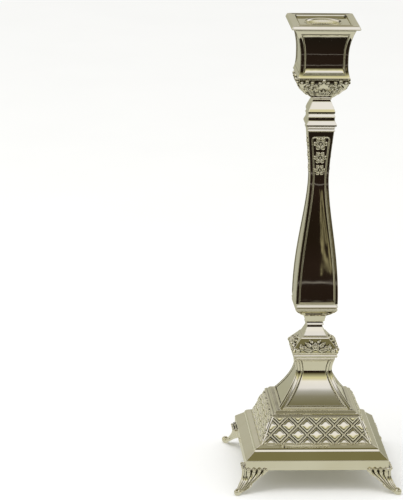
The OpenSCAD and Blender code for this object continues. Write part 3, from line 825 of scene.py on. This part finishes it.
rod_steel = machined("rod_steel", (0.55, 0.55, 0.56), brushed=(300, 300, 3000), tool=0.22)
plate_steel = machined("plate_steel", (0.60, 0.60, 0.61), brushed=(3500, 250, 250), tool=0.30)
turned_brass = machined("turned_brass", (0.78, 0.58, 0.27), brushed=(400, 400, 3500), tool=0.25)
rod_half, rod_low, rod_top = span("tie_rod")
pitch, turns_of_points, chamfer = 1.25, 24, 1.0
rod_z = np.arange(rod_low, rod_top, pitch / 5)[:, None]
rod_turn = np.linspace(0, 2 * math.pi, turns_of_points, endpoint=False)[None, :]
thread = np.abs((rod_z / pitch - rod_turn / (2 * math.pi)) % 1 - 0.5) * 2
rod_ends = np.clip(np.minimum(rod_z - rod_low, rod_top - rod_z) / chamfer, 0, 1)
rod_r = rod_half - 0.45 * thread - 0.6 * (1 - rod_ends)
rod_grid = np.stack([rod_r * np.cos(rod_turn), rod_r * np.sin(rod_turn), rod_z + 0 * rod_turn], axis=2)
rod_faces = grid_faces(len(rod_z), turns_of_points, closed_rows=False).tolist()
rod_caps = [list(range(turns_of_points))[::-1], list(range(rod_r.size - turns_of_points, rod_r.size))]
make_piece(
    "threaded_rod", (rod_grid.reshape(-1, 3), rod_faces + rod_caps), "tie_rod",
    finish=rod_steel,
)
for node, finish in (
    ("bridge_plate", plate_steel), ("bottom_washer", plate_steel), ("bottom_nut", rod_steel),
    ("cup_washer", turned_brass), ("top_nut", turned_brass), ("stem_top_bush", turned_brass),
    ("stem_bottom_bush", turned_brass),
):
    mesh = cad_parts[node].data
    mesh.materials.clear()
    mesh.materials.append(finish)

# Studio: a pale floor under plain white light. Polished silver shows what stands round it, so reflections alone
# see a made-up room: cream paper below, a light ceiling, a white wall behind and darkness on the other sides.

world = bpy.data.worlds.new("studio")
bpy.context.scene.world = world
world.use_nodes = True
world.cycles.sampling_method = "NONE"
world.node_tree.nodes.clear()
room = Shade(world.node_tree)
direction = room.add("TexCoord", out=0)
parts = room.add("SeparateXYZ", Vector=direction).socket.node.outputs
east, north, up = (Shade(world.node_tree, part) for part in parts)


def elevation_ramp(*stops):
    """Colours by the elevation in degrees, from straight down to straight up."""
    return room.add("ValToRGB", {"stops": [
        (0.5 + 0.5 * math.sin(math.radians(angle)), colour) for angle, colour in stops
    ]}, Fac=up * 0.5 + 0.5)


ceiling = (
    (17, (0.40, 0.38, 0.22)), (22, (0.68, 0.64, 0.36)), (26, (0.70, 0.65, 0.42)), (30, (0.88, 0.85, 0.80)),
    (41, (0.80, 0.78, 0.77)), (45, (0.42, 0.41, 0.37)), (50, (0.25, 0.235, 0.165)), (57, (0.18, 0.165, 0.09)),
    (62, (0.145, 0.13, 0.06)), (90, (0.20, 0.18, 0.078)),
)
dark_room = elevation_ramp(
    (-52, (0.34, 0.32, 0.22)), (-47, (0.012, 0.009, 0.006)), (-4, (0.02, 0.012, 0.008)),
    (4, (0.012, 0.008, 0.004)), (10, (0.16, 0.14, 0.07)), *ceiling,
)
window_light = elevation_ramp(
    (-60, (0.34, 0.32, 0.22)), (-20, (0.42, 0.40, 0.27)), (8, (0.55, 0.53, 0.38)), *ceiling,
)
white_wall = elevation_ramp(
    (-30, (0.45, 0.44, 0.34)), (0, (0.42, 0.41, 0.30)), (17, (0.50, 0.48, 0.38)), (21, (0.03, 0.022, 0.012)),
    (26, (0.05, 0.04, 0.02)), (31, (0.80, 0.76, 0.68)), (50, (0.70, 0.66, 0.58)), (60, (0.36, 0.34, 0.24)),
    (72, (0.30, 0.28, 0.18)), (84, (0.20, 0.18, 0.078)),
)
flat_part = room.maths("SQRT", room.maths("MAXIMUM", 1 - up * up, 0.001))
toward_wall = ((north - east * 0.1) / flat_part).between(0.84, 0.93)
# Lit walls stand to both sides of every dark opening, and edge the bright work with fine light lines.
across_room = room.maths("ABSOLUTE", east * north) / (flat_part * flat_part)
beside_opening = across_room.between(0.40, 0.445) - across_room.between(0.494, 0.4985)
# A curtain of olive cloth hangs in the front opening, a little to the right, in uneven folds, and two shelf
# edges run across it.
cloth = room.add("TexNoise", Vector=direction.stretched(22, 22, 9), Scale=1.0, Detail=3.0)
sideways = east / flat_part + (cloth - 0.5) * 0.12
upward = up + (cloth - 0.5) * 0.24
fold_side = sideways.between(0.125, 0.15) - sideways.between(0.21, 0.25)
folds = fold_side * (upward.between(-0.12, -0.08) - upward.between(0.02, 0.05)) * cloth.between(0.40, 0.60)
shelf = sum((1 - room.maths("ABSOLUTE", up + drop) * 130).between(0, 1) for drop in (0.311, 0.162))
ahead = (0 - north).between(0, 0.5)
curtain = (folds * ahead).blend(dark_room, (0.30, 0.265, 0.14))
front = (shelf * ahead * 0.8).blend(curtain, (0.26, 0.24, 0.21))
around = toward_wall.blend(beside_opening.blend(front, window_light), white_wall)
shining = room.add("LightPath", out="Is Glossy Ray")
room.add("OutputWorld", Surface=room.add("Background", Color=shining.blend((1.0, 1.0, 0.99), around)))


def flat_sheet(name, half, colour):
    """A level square sheet of matt card, half wide, at the height that the feet stand on."""
    mesh = bpy.data.meshes.new(name)
    mesh.from_pydata([(-half, -half, 0), (half, -half, 0), (half, half, 0), (-half, half, 0)], [], [(0, 1, 2, 3)])
    sheet = bpy.data.objects.new(name, mesh)
    bpy.context.scene.collection.objects.link(sheet)
    card, shader, place = new_finish(name)
    pulp = place.add("TexNoise", Vector=place, Scale=9.0, Detail=4.0)
    fibres = tuple(0.97 * c for c in colour)
    feed(shader, Base_Color=pulp.blend(colour, fibres), Roughness=0.9, Specular_IOR_Level=0)
    mesh.materials.append(card)
    return sheet


floor = flat_sheet("floor", 30, (0.90, 0.90, 0.89))
floor.visible_glossy = False
paper = flat_sheet("paper", 0.32, (0.66, 0.645, 0.51))
paper.visible_camera = paper.visible_diffuse = paper.visible_shadow = False

key_at, key_aim = Vector((-0.8, -0.6, 1.8)), Vector((0, 0, 0.2))
key = bpy.data.lights.new("key", "AREA")
key.energy = 12
key.size = 1.2
key_lamp = bpy.data.objects.new("key", key)
bpy.context.scene.collection.objects.link(key_lamp)
key_lamp.location = key_at
key_lamp.rotation_euler = (key_aim - key_at).to_track_quat("-Z", "Y").to_euler()
key_lamp.visible_glossy = False

eye_place = Vector((-0.2578, -2.3115, 0.8170))
eye_yaw, eye_pitch, eye_roll = (math.radians(angle) for angle in (4.2319, 15.5089, 1.16203))
camera = bpy.data.cameras.new("camera")
camera.sensor_width = 36
camera.lens = 230.1
camera.clip_start = 0.05
eye = bpy.data.objects.new("camera", camera)
bpy.context.scene.collection.objects.link(eye)
eye.matrix_world = (
    Matrix.Translation(eye_place) @ Matrix.Rotation(-eye_yaw, 4, "Z")
    @ Matrix.Rotation(math.pi / 2 - eye_pitch, 4, "X") @ Matrix.Rotation(eye_roll, 4, "Z")
)
bpy.context.scene.camera = eye
bpy.context.scene.view_settings.view_transform = "Standard"
